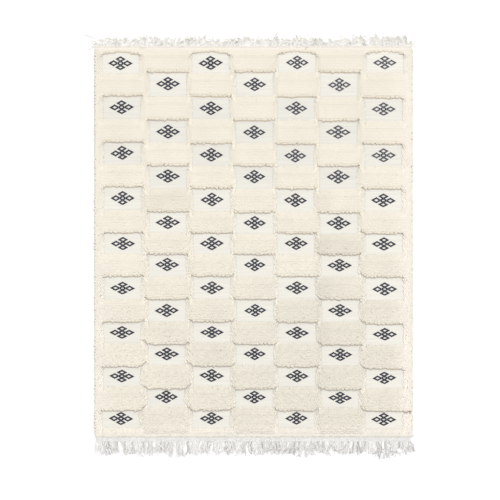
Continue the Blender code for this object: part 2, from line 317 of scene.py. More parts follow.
def spindles(name, paths, half_widths, half_heights, section, **item_values):
    """One mesh of closed spindles. paths is items × stations × 3; the first and last stations are
    points, and each station between them has a ring of centre + sideways · half width · the section's
    first number + upward · half height · its second. Sideways is level and square to the path; upward
    is square to both. A value is given for each item, or for each of its stations."""
    items, stations, _ = paths.shape
    rings, sides = stations - 2, len(section)
    onward = paths[:, 2:] - paths[:, :-2]
    sideways = np.cross(onward, (0.0, 0.0, 1.0))
    sideways /= np.linalg.norm(sideways, axis=2, keepdims=True)
    upward = np.cross(sideways, onward)
    upward /= np.linalg.norm(upward, axis=2, keepdims=True)
    wide = half_widths[:, :, None, None] * section[:, :1] * sideways[:, :, None, :]
    high = half_heights[:, :, None, None] * section[:, 1:] * upward[:, :, None, :]
    ring_points = (paths[:, 1:-1, None, :] + wide + high).reshape(items, rings * sides, 3)
    points = np.concatenate((paths[:, :1], ring_points, paths[:, -1:]), axis=1)
    corners, counts = spindle_faces(sides, rings)
    corner_point, turn, station = corners.T
    per_item = 2 + rings * sides
    corner_points = (np.arange(items)[:, None] * per_item + corner_point.astype(int)).ravel()
    steps = np.linalg.norm(np.diff(paths, axis=1), axis=2)
    length_so_far = np.concatenate((np.zeros((items, 1)), np.cumsum(steps, axis=1)), axis=1)
    share = turn / sides
    along = length_so_far[:, station.astype(int)]
    lie = np.stack((np.broadcast_to(share, along.shape), along), axis=-1)
    cells = math.ceil(math.sqrt(items))
    cell = np.stack((np.arange(items) % cells, np.arange(items) // cells), axis=-1)
    in_cell = np.stack((share, station / (stations - 1)), axis=-1)
    bake = (cell[:, None] + CELL_MARGIN + (1 - 2 * CELL_MARGIN) * in_cell) / cells
    station_of_point = np.repeat(np.arange(stations), [1, *[sides] * rings, 1])
    values = {}
    for label, numbers in item_values.items():
        by_station = np.broadcast_to(numbers if numbers.ndim == 2 else numbers[:, None], (items, stations))
        values[label] = by_station[:, station_of_point].ravel()
    piece = mesh_from_arrays(
        name,
        points.reshape(-1, 3),
        corner_points,
        np.tile(counts, items),
        {"lie": lie.reshape(-1, 2), "OFBake": bake.reshape(-1, 2)},
        values,
    )
    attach(piece, "root")
    print(f"{name}: {items} spindles, {triangle_count(piece)} triangles")
    return piece


print("faces of a spindle with four sides and two rings:", len(spindle_faces(4, 2)[1]))

# %% [markdown]
# ## Materials
#
# Everything here is matt fibre. Wool and cotton fibres are clear inside and scaly outside, so light
# scatters back in all directions, and a bundle of them shows no highlight, only a faint pale sheen
# where the surface turns away. A Principled BSDF with high roughness, a low specular level and some
# sheen gives that. Colours are written as sRGB hex values, and one function turns them linear.

# %% Helpers for materials
FIBRE_IOR = 1.55  # of wool and cotton alike
SHEEN_ROUGHNESS = 0.6
STREAK_DEPTH = 0.0004


def linear(hex_colour):
    """An sRGB hex value as linear colour: c/12.92 up to 0.04045, else ((c + 0.055)/1.055) to the 2.4."""
    parts = [int(hex_colour[i : i + 2], 16) / 255 for i in (1, 3, 5)]
    return (*[c / 12.92 if c <= 0.04045 else ((c + 0.055) / 1.055) ** 2.4 for c in parts], 1)


def link_into(tree, node, links):
    """Link into a node's sockets, each from another socket or from another node's first output."""
    for socket, source in links.items():
        source = source.outputs[0] if isinstance(source, bpy.types.Node) else source
        tree.links.new(source, node.inputs[socket])


def add_node(tree, kind, inputs=None, links=None, stops=(), **settings):
    """Add one node with its settings, its sockets' own values, the links into its sockets and, for a
    ramp, its stops, as (position, colour) with a hex value or the number of a grey."""
    node = tree.nodes.new(kind)
    for setting, value in settings.items():
        setattr(node, setting, value)
    for socket, value in (inputs or {}).items():
        node.inputs[socket].default_value = value
    link_into(tree, node, links or {})
    if stops:
        elements = node.color_ramp.elements
        while len(elements) < len(stops):
            elements.new(0.5)
        for element, (position, tone) in zip(elements, stops):
            element.position = position
            element.color = linear(tone) if isinstance(tone, str) else (tone, tone, tone, 1)
    return node


def new_material(name, constants):
    """A new material, its node tree and its shader, with the constants on the shader's own sockets."""
    material = bpy.data.materials.new(name)
    material.use_nodes = True
    shader = material.node_tree.nodes["Principled BSDF"]
    for socket, value in constants.items():
        shader.inputs[socket].default_value = value
    return material, material.node_tree, shader


def new_fibre(name, roughness, sheen, specular):
    """A new matt fibre material: rough, hardly specular, with a soft sheen."""
    surface = {"Roughness": roughness, "Specular IOR Level": specular, "IOR": FIBRE_IOR}
    return new_material(name, surface | {"Sheen Weight": sheen, "Sheen Roughness": SHEEN_ROUGHNESS})


def finish_fibre(tree, shader, colour, height, depth, strength=0.5):
    """Give the shader its colour, and the height of its fibres, twist or weave as bump this deep."""
    relief = {"Strength": strength, "Distance": depth}
    bump = add_node(tree, "ShaderNodeBump", inputs=relief, links={"Height": height})
    link_into(tree, shader, {"Base Color": colour, "Normal": bump})


def fibre_streaks(tree, around, along, distortion=0.0):
    """The height of a yarn's fibres: noise on its lie map, so many streaks around and to each metre."""
    lie = add_node(tree, "ShaderNodeUVMap", uv_map="lie")
    stretched = add_node(
        tree, "ShaderNodeMapping", inputs={"Scale": (around, along, 1)}, links={"Vector": lie}
    )
    fine = {"Scale": 1.0, "Detail": 2.0, "Distortion": distortion}
    return add_node(tree, "ShaderNodeTexNoise", inputs=fine, links={"Vector": stretched})


def shares_of_rug(tree, place):
    """The place as a share of the rug's width from its left side, and of its length from its top end."""
    corner = {
        "Location": (0.5 - MIDDLE_X / RUG_WIDTH, TOP_Y / RUG_LENGTH, 0),
        "Scale": (1 / RUG_WIDTH, -1 / RUG_LENGTH, 1),
    }
    shares = add_node(tree, "ShaderNodeMapping", inputs=corner, links={"Vector": place})
    across, down, _ = add_node(tree, "ShaderNodeSeparateXYZ", links={"Vector": shares}).outputs
    return across, down


print("a middle grey as linear colour:", round(linear("#808080")[0], 3))

# %% [markdown]
# ### Ivory wool pile
#
# The pile is undyed, hand-spun wool. It is creamier at the top end of the rug and greyer towards the
# bottom end, most of all to the right of the middle, in soft patches as wool from several fleeces
# gives. Along the borders it is paler. Just below a window and beside it the pile is thin and the white
# ground shines through. The tips that hang over an edge are painted brown: painted shade, the warm
# shade under the rolled lip. Wool fibre is about 0.03 mm thick, far too fine to show, so its streaks
# are drawn 0.8 mm apart around each tuft.

# %% The pile's material
FIBRE_STREAK = 0.0008
TUFT_GIRTH = 0.020
STREAKS_ALONG = 300.0  # to a metre
CREAM_WOOL, GREY_WOOL = "#EBE4D5", "#DFD9CC"
# The last of these colours is painted shade: the brown of wool in the shade under a block's lip.
BORDER_WOOL, GROUND_UNDER_THIN_PILE, LIP_SHADE_BROWN = "#F4ECE2", "#E0DDD4", "#C9A87A"
GREYER_ACROSS = ((0.1, 0.36), (0.45, 0.58), (0.6, 0.68), (0.7, 1), (0.8, 0.72), (1, 0.6))
PALE_SIDES = ((0, 0), (0.04, 0), (0.93, 0), (0.968, 0.32))  # share of the width, and how pale
PALE_LOWER_SIDES = ((0, 0.36), (0.05, 0), (0.955, 0), (0.985, 0.3))
PALE_ENDS = ((0, 0.7), (0.015, 0), (0.965, 0), (0.985, 0.32))


def wool_pile_material():
    """Greyness is the way down the rug times a ramp across it, plus patches, and mixes two wools. Then
    come the borders' paler wool, the ground under thin pile and the painted shade of drooping tips,
    each mixed in by its own share, and last each tuft's shade. Streaks along the tuft are bump."""
    material, tree, shader = new_fibre("handspun_ivory_wool", 0.95, 0.25, 0.15)
    place = add_node(tree, "ShaderNodeTexCoord").outputs["Object"]
    across, down = shares_of_rug(tree, place)
    greyer_across, sides, lower_sides, ends = (
        add_node(tree, "ShaderNodeValToRGB", links={"Fac": share}, stops=stops)
        for share, stops in (
            (across, GREYER_ACROSS), (across, PALE_SIDES), (across, PALE_LOWER_SIDES), (down, PALE_ENDS)
        )
    )
    lower_half = add_node(
        tree,
        "ShaderNodeMapRange",
        interpolation_type="SMOOTHSTEP",
        inputs={"From Min": 0.30, "From Max": 0.78},
        links={"Value": down},
    )
    cloudy = {"Scale": 5.0, "Detail": 2.0, "Roughness": 0.55}
    fleeces = add_node(tree, "ShaderNodeTexNoise", inputs=cloudy, links={"Vector": place})
    drift, both_sides = (
        add_node(tree, "ShaderNodeMath", operation="MULTIPLY_ADD", links={0: lower_half, 1: times, 2: plus})
        for times, plus in ((greyer_across, fleeces), (lower_sides, sides))
    )
    greyness = add_node(
        tree, "ShaderNodeMapRange", inputs={"From Min": 0.40, "From Max": 1.20}, links={"Value": drift}
    )
    borders = add_node(tree, "ShaderNodeMath", operation="MAXIMUM", links={0: both_sides, 1: ends})
    thin, hang, shade = (
        add_node(tree, "ShaderNodeAttribute", attribute_name=name).outputs["Fac"]
        for name in ("thin_pile", "edge_hang", "tuft_shade")
    )
    both_wools = {6: linear(CREAM_WOOL), 7: linear(GREY_WOOL)}
    mix = add_node(tree, "ShaderNodeMix", data_type="RGBA", inputs=both_wools, links={0: greyness})
    # The last colour mixed in is painted shade: brown for the shade under a block's lip.
    for share, colour in ((borders, BORDER_WOOL), (thin, GROUND_UNDER_THIN_PILE), (hang, LIP_SHADE_BROWN)):
        links = {0: share, 6: mix.outputs[2]}
        mix = add_node(tree, "ShaderNodeMix", data_type="RGBA", inputs={7: linear(colour)}, links=links)
    shaded = add_node(tree, "ShaderNodeHueSaturation", links={"Value": shade, "Color": mix.outputs[2]})
    streaks = fibre_streaks(tree, TUFT_GIRTH / FIBRE_STREAK, STREAKS_ALONG, distortion=0.4)
    finish_fibre(tree, shader, shaded, streaks, 2 * STREAK_DEPTH)
    return material


pile_wool = wool_pile_material()
print("nodes in the pile's material:", len(pile_wool.node_tree.nodes))

# %% [markdown]
# ### Flat woven ground
#
# The bare windows show a weft-faced plain weave: tightly beaten wool wefts, about 3 mm apart, that
# cover the cotton warps under them. It is whiter than the pile and runs in faint level streaks. Over
# the length of the rug its tone steps down and up again, and the right-hand windows are the whitest. A
# 3 mm weave is half a pixel in the picture, so the streaks are drawn about 10 mm apart, and the weave
# itself is bump.

# %% The ground's material
WEFT_PITCH = 0.003
WARP_PITCH = 0.006
STREAK_PITCH = 0.010
STREAKS_ACROSS = 2.5  # to a metre
BANDS_TO_A_METRE = math.pi / 10  # what a wave texture of bands takes as its scale for a pitch of 1 m
STREAK_COLOURS = ((0.3, "#E3DFD7"), (0.7, "#EDEAE0"))
GROUND_TONE_DOWN = (  # share of the way down, and how bright the ground is there
    (0.04, 0.985), (0.095, 0.976), (0.15, 0.93), (0.33, 0.93), (0.40, 0.972), (0.66, 0.965), (0.75, 0.955)
)
WHITER_ON_THE_RIGHT = ((0.82, 0.972), (0.90, 1.0))


def woven_ground_material():
    """White wool with level streaks from a noise stretched along the wefts, times its tones down and
    across the rug, and a bump that multiplies a wave across the wefts by a wave across the warps, as a
    plain weave rises and falls."""
    material, tree, shader = new_fibre("flatwoven_white_wool", 0.9, 0.15, 0.2)
    place = add_node(tree, "ShaderNodeTexCoord").outputs["Object"]
    long_and_low = {"Scale": (STREAKS_ACROSS, 1 / STREAK_PITCH, 1)}
    level = add_node(tree, "ShaderNodeMapping", inputs=long_and_low, links={"Vector": place})
    streaky = {"Scale": 1.0, "Detail": 3.0, "Roughness": 0.6}
    streaks = add_node(tree, "ShaderNodeTexNoise", inputs=streaky, links={"Vector": level})
    across, down = shares_of_rug(tree, place)
    wool, tone_down, right = (
        add_node(tree, "ShaderNodeValToRGB", links={"Fac": share}, stops=stops)
        for share, stops in ((streaks, STREAK_COLOURS), (down, GROUND_TONE_DOWN), (across, WHITER_ON_THE_RIGHT))
    )
    tone = add_node(tree, "ShaderNodeMath", operation="MULTIPLY", links={0: tone_down, 1: right})
    toned = add_node(tree, "ShaderNodeHueSaturation", links={"Value": tone, "Color": wool})
    wavering = {"Scale": BANDS_TO_A_METRE / WEFT_PITCH, "Distortion": 1.0, "Detail": 1.0, "Detail Scale": 0.1}
    wefts, warps = (
        add_node(
            tree, "ShaderNodeTexWave", bands_direction=direction, inputs=inputs, links={"Vector": place}
        ).outputs["Fac"]
        for direction, inputs in (("Y", wavering), ("X", {"Scale": BANDS_TO_A_METRE / WARP_PITCH}))
    )
    weave = add_node(tree, "ShaderNodeMath", operation="MULTIPLY", links={0: wefts, 1: warps})
    finish_fibre(tree, shader, toned, weave, 2 * STREAK_DEPTH, strength=0.4)
    return material


ground_wool = woven_ground_material()
print("nodes in the ground's material:", len(ground_wool.node_tree.nodes))

# %% [markdown]
# ## The woven ground
#
# The ground is one flat sheet of cloth, 2.00 by 2.45 m and 4 mm thick, lying on the floor. Its sides
# are a little narrower than the rug, because the outermost tufts hang over the selvedge. It could be a
# box, but a real cloth is never dead flat, so its top is a grid that swells and dips by a fraction of
# a millimetre.

# %% Build the ground
GROUND_GRID = 0.04
GROUND_SWELL = 0.0003
SELVEDGE_INSET = 0.005


def closed_sheet(name, across_line, down_line, top_of):
    """A closed flat sheet over a grid of places: its upper face at top_of(across, down), its lower face
    on the floor, and a strip of quads around the border that joins them."""
    columns, rows = len(across_line), len(down_line)
    across, down = np.meshgrid(across_line, down_line)
    upper = on_rug(across, down, top_of(across, down)).reshape(-1, 3)
    lower = on_rug(across, down, 0.0).reshape(-1, 3)
    index = np.arange(columns * rows).reshape(rows, columns)
    a, b, c, d = index[:-1, :-1], index[:-1, 1:], index[1:, 1:], index[1:, :-1]
    top_faces = np.stack((a, d, c, b), axis=-1).reshape(-1, 4)
    bottom_faces = np.stack((a, b, c, d), axis=-1).reshape(-1, 4) + columns * rows
    rim = np.concatenate((index[0, :-1], index[:-1, -1], index[-1, :0:-1], index[:0:-1, 0]))
    after = np.roll(rim, -1)
    rim_faces = np.stack((rim, after, after + columns * rows, rim + columns * rows), axis=-1)
    faces = np.concatenate((top_faces, bottom_faces, rim_faces))
    piece = mesh_from_arrays(
        name, np.concatenate((upper, lower)), faces.ravel(), np.full(len(faces), 4), {}, {}
    )
    piece.data.set_sharp_from_angle(angle=math.radians(50))
    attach(piece, "root")
    print(f"{name}: {triangle_count(piece)} triangles")
    return piece


def grid_line(start, end, step):
    """Evenly spaced places from start to end, no further apart than step."""
    return np.linspace(start, end, math.ceil((end - start) / step) + 1)


def ground_top(across, down):
    """The cloth's thickness less up to 0.3 mm, in soft patches 0.12 m long."""
    return GROUND_THICKNESS - GROUND_SWELL * (0.5 + 0.5 * patches(across, down, 0.12, 3))


half_ground = RUG_WIDTH / 2 - SELVEDGE_INSET
ground = closed_sheet(
    "woven_ground",
    grid_line(-half_ground, half_ground, GROUND_GRID),
    grid_line(0, RUG_LENGTH, GROUND_GRID),
    ground_top,
)
ground.data.materials.append(ground_wool)
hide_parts("rug_body")

# %% [markdown]
# ## The knots of the pile
#
# Each knot is a short length of yarn tied round two warps, with both ends standing up as one tuft. The
# knots are drawn 9.5 mm apart both ways, and all the tufts lean down the rug, as they do when each row
# is pulled tight and cut downwards. A tuft is longer than the gap to the next row, so the rows overlap
# like shingles and hide the ground. A particle system could grow this, but it would not be a mesh. Here
# every knot's place, lean and length is a number in an array.
#
# First, which knots there are: none in the windows, nor where the tufts over a window would hang
# past the block's edge. Each knot is also told how far it lies below bare cloth and above an edge.

# %% Which knots there are
KNOT_PITCH = 0.0095
KNOTS_IN_A_ROW = 208
OUTERMOST_KNOT = 0.985
FIRST_ROW = -0.008
TUFT_REACH = 0.022
SHORTEST_REACH = 0.6  # of the full reach, for the last tufts before an edge
SIDE_LAP = 0.009  # how far the tufts beside a window would spread over it
UPPER_LAP = 0.008  # how far the first tufts below a window spread back over the bare cloth
BOTTOM_WAVER, SIDE_WAVER = 0.002, 0.003  # how far a window's bottom and sides are uneven
HANG_LAP = 0.001  # how far past a window's side the tufts of an outermost block still hang
SLOPE_WIDTH = 0.04  # of the pile that slopes down to a window's side
SLOPE_LAG = 0.020  # added to a knot's distance from the window's side where the window begins
SLOPE_STRETCH = 1.5  # over how many times that length it fades, further down
NEAR = 0.1
FAR = 1.0


def read_layout(across, down, edge_down):
    """For each knot: whether it is there, its distance below bare cloth, its distance above the edge
    that its tuft ends at, its distance from a window's side, and how far that window lies to the left
    or right, from −1 to 1. A distance is FAR where there is nothing near."""
    shortest = SHORTEST_REACH * TUFT_REACH
    there = down < edge_down - shortest
    below_bare = down.copy()
    above_edge = edge_down - down
    beside = np.full(across.shape, FAR)
    window_side = np.zeros(across.shape)
    for window in windows:
        row, column, middle, window_down = window
        aside = np.abs(across - middle)
        past_edge = down - block_edge(window, across)
        past_bottom = down + UPPER_LAP - (window_down + ROWS[row][4])
        past_bottom = past_bottom - BOTTOM_WAVER * ripple(across, 0.07, 90 + row)
        waver = SIDE_WAVER * ripple(down, 0.045, 60 + row + column)
        over = aside < WINDOW_HALF_WIDTH + SIDE_LAP + waver
        corner_width, _ = corner_sizes(across, middle, window_down)
        curls = (row > 0) & np.where(across < middle, column > 0, column < LAST_COLUMN)
        corner = curls & ~over & (aside < WINDOW_HALF_WIDTH - CORNER_START + corner_width)
        below = np.where(over, past_bottom, past_edge)
        there &= ~((over | corner) & (past_edge > -shortest) & (below < 0))
        under = (over | corner) & (below >= 0) & (below < NEAR)
        below_bare = np.where(under, np.minimum(below_bare, below), below_bare)
        overhangs = corner | (over & (curls | (aside < WINDOW_HALF_WIDTH + HANG_LAP)))
        if row == LAST_ROW and column == LAST_COLUMN:
            overhangs = overhangs | (across > middle)
        hanging = overhangs & (past_edge < 0) & (past_edge > -NEAR)
        above_edge = np.where(hanging, np.minimum(above_edge, -past_edge), above_edge)
        past_end = np.maximum(past_bottom, 0) + np.maximum(SLOPE_LAG - past_edge / SLOPE_STRETCH, 0)
        from_side = np.hypot(aside - WINDOW_HALF_WIDTH, past_end)
        nearest = (aside > WINDOW_HALF_WIDTH) & (from_side < np.minimum(beside, SLOPE_WIDTH))
        beside = np.where(nearest, from_side, beside)
        sideways = np.sign(middle - across) * (aside - WINDOW_HALF_WIDTH) / np.maximum(from_side, 1e-6)
        window_side = np.where(nearest, sideways, window_side)
    return there, below_bare, above_edge, beside, window_side


# %% Set out the knots
STAGGER = 0.25  # of the pitch, to the left in one row and to the right in the next
ROW_SWAY, NUB = 0.003, 0.003
KNOT_SPREAD_ACROSS, KNOT_SPREAD_DOWN = 0.0008, 0.0005
PILE_OVERHANG = 0.003  # past the cloth's bottom end
END_WAVER = 0.002
SELVEDGE = (0.955, 0.985)  # how far across the knots begin to waver, and waver in full

random = np.random.default_rng(11)
row_down = np.arange(FIRST_ROW, RUG_LENGTH, KNOT_PITCH)
row_across = np.linspace(-OUTERMOST_KNOT, OUTERMOST_KNOT, KNOTS_IN_A_ROW)
knot_across, knot_down = np.meshgrid(row_across, row_down)
knot_row = np.broadcast_to(np.arange(len(row_down))[:, None], knot_across.shape)
knot_across = knot_across + STAGGER * KNOT_PITCH * (-1.0) ** knot_row
row_sway = ROW_SWAY * ripple(knot_across, 0.6, 1) * np.sin(math.pi * knot_down / RUG_LENGTH)
knot_down = knot_down + row_sway
nubs = NUB * ripple(knot_down, 0.034, 31) * smooth_step(np.abs(knot_across), *SELVEDGE)
knot_across = knot_across + nubs + random.normal(0, KNOT_SPREAD_ACROSS, knot_across.shape)
knot_down = knot_down + random.normal(0, KNOT_SPREAD_DOWN, knot_across.shape)
pile_end = RUG_LENGTH + PILE_OVERHANG + END_WAVER * ripple(knot_across, 0.2, 77)
pile_end = pile_end + END_WAVER * ripple(knot_across, 0.035, 79)
knot_there, *layout = read_layout(knot_across, knot_down, pile_end)
print("knots:", int(knot_there.sum()), "of", knot_there.size)

# %% [markdown]
# Then each tuft's path. It rises steeply from its knot and lies over towards its tip. Below a window
# and beside it the tufts are shorter, so the block rises softly out of the bare cloth. At a block's
# lower edge the tips droop, so it ends in a rolled lip with a shadow under it. At the rug's sides the
# tufts splay outwards over the selvedge. The wool is felted smooth at the top end and looser and
# curlier towards the bottom end, so the spread of lengths, heights and directions grows on the way
# down.

# %% Lay out the tufts
LOOSE_AT_TOP = 0.25  # share of the full looseness
LOOSENING = (0.2, 2.0)  # how far down the rug the wool loosens
RISE_LENGTH = 0.040  # of a block's soft upper edge
DROOP_LENGTH = 0.012  # of its rolled lower edge
LAST_KNOTS = (RUG_LENGTH - 0.07, RUG_LENGTH - 0.04)
SPLAYING = (0.955, 0.99)  # how far across the tufts begin to splay, and splay in full
LEAST_RISE = 0.28  # share of the full height that the pile has just below bare cloth
SUNK_BESIDE = 0.68  # share of the height that it loses beside a window
SUNK_AT_END = 0.55  # and at the bottom end
LOOSE_HEIGHT, LOOSE_ROW, LOOSE_REACH = 0.06, 0.02, 0.08  # how far loose tufts differ, as shares
PATCH_TURN, OWN_TURN, WINDOW_TURN = 0.12, 0.10, 0.20  # turns of the tips, in radians
SPLAY_TURN, SPLAY_WAVER = 0.42, 0.16
SWAY = 0.0008
BEND, SHOULDER = 0.35, 0.72  # shares of the reach
BEND_HEIGHT, SHOULDER_HEIGHT, TIP_HEIGHT = 0.84, 0.92, 0.93  # shares of the pile's height


def tuft_shares(across, down, below, above, beside):
    """Where each tuft stands, as shares from 0 to 1: how loose the wool is, how far the pile has risen
    from bare cloth, and how far the tuft is beside a window, at the bottom end, drooping over an edge
    and splayed over a selvedge."""
    loose = LOOSE_AT_TOP + (1 - LOOSE_AT_TOP) * smooth_step(down, *LOOSENING)
    rise = smooth_step(below, -0.004, RISE_LENGTH)
    side = 1 - smooth_step(beside, 0.006, SLOPE_WIDTH)
    at_end = smooth_step(down, *LAST_KNOTS)
    stretch = 1 + 1.8 * at_end + 0.7 * (1 - loose)
    droop = 1 - smooth_step((above - 0.85 * TUFT_REACH) / stretch, 0, DROOP_LENGTH)
    splay = smooth_step(np.abs(across), *SPLAYING)
    return loose, rise, side, at_end, droop, splay


def tuft_paths(across, down, row, above, window_side, shares, random):
    """Four stations for each tuft: its knot, a bend, a shoulder and its tip. Their heights are shares of
    the pile's height there, lower where the tuft droops or splays. The tip points down the rug, turned
    by a patchy drift, by the tuft's own turn, towards a window beside it, and outwards at the rug's
    sides. Lengths, heights and turns differ more the looser the wool is."""
    loose, rise, side, at_end, droop, splay = shares
    count = len(across)
    row_wave = ripple(across + 0.37 * row, 0.07, 29)
    height = (PILE_TOP - 0.0005) * np.minimum(LEAST_RISE + (1 - LEAST_RISE) * rise, 1 - SUNK_BESIDE * side)
    height = height * (1 - SUNK_AT_END * smooth_step(down, LAST_KNOTS[0], RUG_LENGTH - 0.015))
    height = height * (1 - LOOSE_HEIGHT * loose * random.random(count) + LOOSE_ROW * loose * row_wave)
    reach = TUFT_REACH * (1 + LOOSE_REACH * loose * random.normal(0, 1, count))
    reach = np.where(above < 1.35 * TUFT_REACH, above + 0.0020 * random.normal(0, 1, count), reach)
    turn = PATCH_TURN * patches(across, down, 0.17, 5) + OWN_TURN * loose * random.normal(0, 1, count)
    turn = turn * (1 - droop) * (1 - 0.7 * splay) + WINDOW_TURN * side * (1 - splay) * window_side
    turn = turn + (SPLAY_TURN + SPLAY_WAVER * ripple(down, 0.05, 31)) * splay * np.sign(across)
    shoulder = SHOULDER_HEIGHT - (0.70 - 0.45 * loose + 0.20 * at_end) * droop - 0.15 * splay
    tip = TIP_HEIGHT - 0.05 * loose * random.random(count) - (0.78 - 0.23 * loose + 0.24 * at_end) * droop
    tip = tip - 0.50 * splay * (1 - droop)
    none, all_of_it = np.zeros(count), np.ones(count)
    up = np.stack((none, BEND_HEIGHT * height, shoulder * height, tip * height), axis=-1)
    up[:, 0] = GROUND_THICKNESS - 0.001
    along = np.stack((none, BEND * all_of_it, SHOULDER + 0.14 * droop, all_of_it), axis=-1)
    sway = SWAY * loose[:, None] * random.normal(0, 1, (count, 4)) * (0, 0.5, 1, 1.6)
    ahead = np.stack((np.sin(turn), np.cos(turn)), axis=-1)[:, None]
    aside = np.stack((np.cos(turn), -np.sin(turn)), axis=-1)[:, None]
    places = np.stack((across, down), axis=-1)[:, None] + (reach[:, None] * along)[:, :, None] * ahead
    places = places + sway[:, :, None] * aside
    return on_rug(places[..., 0], places[..., 1], up)


standing = (numbers[knot_there] for numbers in (knot_across, knot_down, *layout[:3]))
drooping, splayed = (int((share > 0.5).sum()) for share in tuft_shares(*standing)[-2:])
print("tufts that droop over an edge:", drooping, "and that splay over a selvedge:", splayed)

# %% [markdown]
# The wool is not one tone either. Each tuft and each row differ a little, and some patches are made
# paler or darker than the rest. Wool also scatters light inside its fibres, so a soft slope hardly shows. A
# rendered slope shows more, and each tuft's shade takes most of that back.

# %% Shade the tufts
TONE_PATCHES = (  # patches made paler or darker: middle across and down, half width, half length, tone
    (-0.54, 0.965, 0.15, 0.08, -0.060),
    (0.54, 1.237, 0.15, 0.075, -0.065),
    (0.27, 1.370, 0.15, 0.08, 0.075),
    (0.436, 1.55, 0.045, 0.68, -0.050),
    (-0.27, 1.85, 0.13, 0.20, -0.030),
    (-0.83, 1.36, 0.13, 0.25, 0.025),
)
THIN_BELOW, THIN_BESIDE, THIN_AT_END = 0.7, 0.4, 0.6  # how far the ground shines through there


def tuft_tones(across, down, below, window_side, shares):
    """How far each tuft's tip takes the painted brown shade under an edge's lip, how far the ground
    shines through, and the factor that evens out its light: darker on the slope below a window, which
    faces the light, brighter on the slopes beside one, and a little darker at the rug's ends and sides."""
    loose, rise, side, at_end, droop, splay = shares
    # Painted shade: how brown a tip is under a block's lip, most where it droops.
    hang = droop * (1 - 0.8 * at_end) * (1.1 - 0.4 * loose)
    thin = THIN_BELOW * (1 - smooth_step(below, -0.006, 0.012)) * smooth_step(down, 0, 0.03)
    thin = np.maximum(np.maximum(thin, THIN_BESIDE * side**2), THIN_AT_END * droop * at_end)
    facing_light = smooth_step(below, -0.004, 0.010) * (1 - smooth_step(below, 0.022, 0.075))
    to_the_right = (window_side < 0) * (0.02 + 0.05 * smooth_step(across, 0.88, 0.93))
    slope = 4 * side * (1 - side) * (0.015 + 0.055 * loose + to_the_right)
    beside_slope = np.abs(window_side) * rise * ((0.08 + 0.05 * loose) * side**2 + slope)
    evening = (1 - (0.055 - 0.018 * smooth_step(down, 0.8, 1.2)) * facing_light) * (1 + beside_slope)
    evening = evening * (1 - 0.02 * (1 - smooth_step(down, 0, 0.03))) * (1 - 0.025 * splay)
    last_rows = smooth_step(down, RUG_LENGTH - 0.024, RUG_LENGTH - 0.010)
    return hang, thin, evening * (1 + 0.03 * at_end - 0.065 * last_rows)


print("skeins with a tone of their own:", len(TONE_PATCHES))

# %% Grow the pile
TUFT_WIDTHS = (0.0088, 0.0072)  # half of them, at the bend and at the shoulder
TUFT_HEIGHTS = (0.0024, 0.0020)
OWN_SHADE, ROW_SHADE, PATCH_SHADE = 0.012, 0.018, 0.015  # how far the tufts' shades differ
PRESSED_SECTION = np.array(((1.0, -0.5), (0.6, 0.8), (-0.6, 0.8), (-1.0, -0.5)))  # flat on top


def grow_pile(name, first_row, last_row):
    """The tufts of the knot rows from first_row up to last_row, as one piece. A tuft's shade follows its
    row's wave, small patches and the tone patch it lies in, whose tone fades as e to the minus
    (u⁴ + v⁴) from the patch's middle, and evens out the light on the slopes."""
    random = np.random.default_rng(100 + first_row)
    some = knot_there & (knot_row >= first_row) & (knot_row < last_row)
    across, down, row = knot_across[some], knot_down[some], knot_row[some]
    below, above, beside, window_side = (numbers[some] for numbers in layout)
    shares = tuft_shares(across, down, below, above, beside)
    loose, side = shares[0], shares[2]
    paths = tuft_paths(across, down, row, above, window_side, shares, random)
    hang, thin, evening = tuft_tones(across, down, below, window_side, shares)
    wide = 1 + 0.08 * loose * random.normal(0, 1, len(across))
    grain = ROW_SHADE * ripple(across + 0.61 * row, 0.06, 13) + PATCH_SHADE * patches(across, down, 0.05, 15)
    grain = OWN_SHADE * random.normal(0, 1, len(across)) + grain
    shade = evening * (1 + loose * (1 + 0.4 * smooth_step(down, 1.65, 1.95)) * grain)
    for middle, middle_down, half_width, half_length, tone in TONE_PATCHES:
        far = ((across - middle) / half_width) ** 4 + ((down - middle_down) / half_length) ** 4
        shade = shade * (1 + tone * np.exp(-far))
    piece = spindles(
        name,
        paths,
        wide[:, None] * TUFT_WIDTHS,
        (1 - 0.5 * side)[:, None] * TUFT_HEIGHTS,
        PRESSED_SECTION,
        tuft_shade=shade,
        # painted shade under a block's lip, strongest at the tips
        edge_hang=hang[:, None] * (0, 0, 0.4, 1),
        thin_pile=thin,
    )
    piece.data.materials.append(pile_wool)
    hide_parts("rug_body")
    return piece


pile_names = ("pile_top_end", "pile_upper_middle", "pile_lower_middle", "pile_bottom_end")
limits = [round(len(row_down) * part / len(pile_names)) for part in range(len(pile_names) + 1)]
pile = [grow_pile(name, *rows) for name, *rows in zip(pile_names, limits, limits[1:])]

# %% [markdown]
# ## The lozenge figures
#
# Each window holds five lozenges that touch at their points: one in the middle and one on each side of
# it. The figure is traditional in this kind of rug. It is brocaded: on each weft row the dark yarn
# lies on top of the cloth in a short float and dives under again. So a lozenge is drawn row by row, as
# a float from its inner edge to its outer edge on each side. Floats longer than 16 mm would snag, so
# they are split.

# %% Chart one figure
FLOAT_PITCH = 0.003
LONGEST_FLOAT = 0.016
LINE_HALF_ACROSS = 0.0097  # half a lozenge's line, measured along a weft row
LINE_HALF_DOWN = 0.0054
SHORTEST_FLOAT = 0.003
LEAST_GAP = 0.001  # between two floats of a row, and half of a lozenge's hole there
ROWS_EACH_WAY = 15  # of the weft, above and below the figure's middle
LOZENGES = (  # middle across, middle down, half width, half height of the line's own middle
    (0.000, 0.0000, 0.0190, 0.0120),
    (0.000, -0.0255, 0.0235, 0.0125),
    (0.000, 0.0250, 0.0235, 0.0120),
    (-0.0425, 0.0000, 0.0235, 0.0135),
    (0.0425, 0.0000, 0.0235, 0.0135),
)


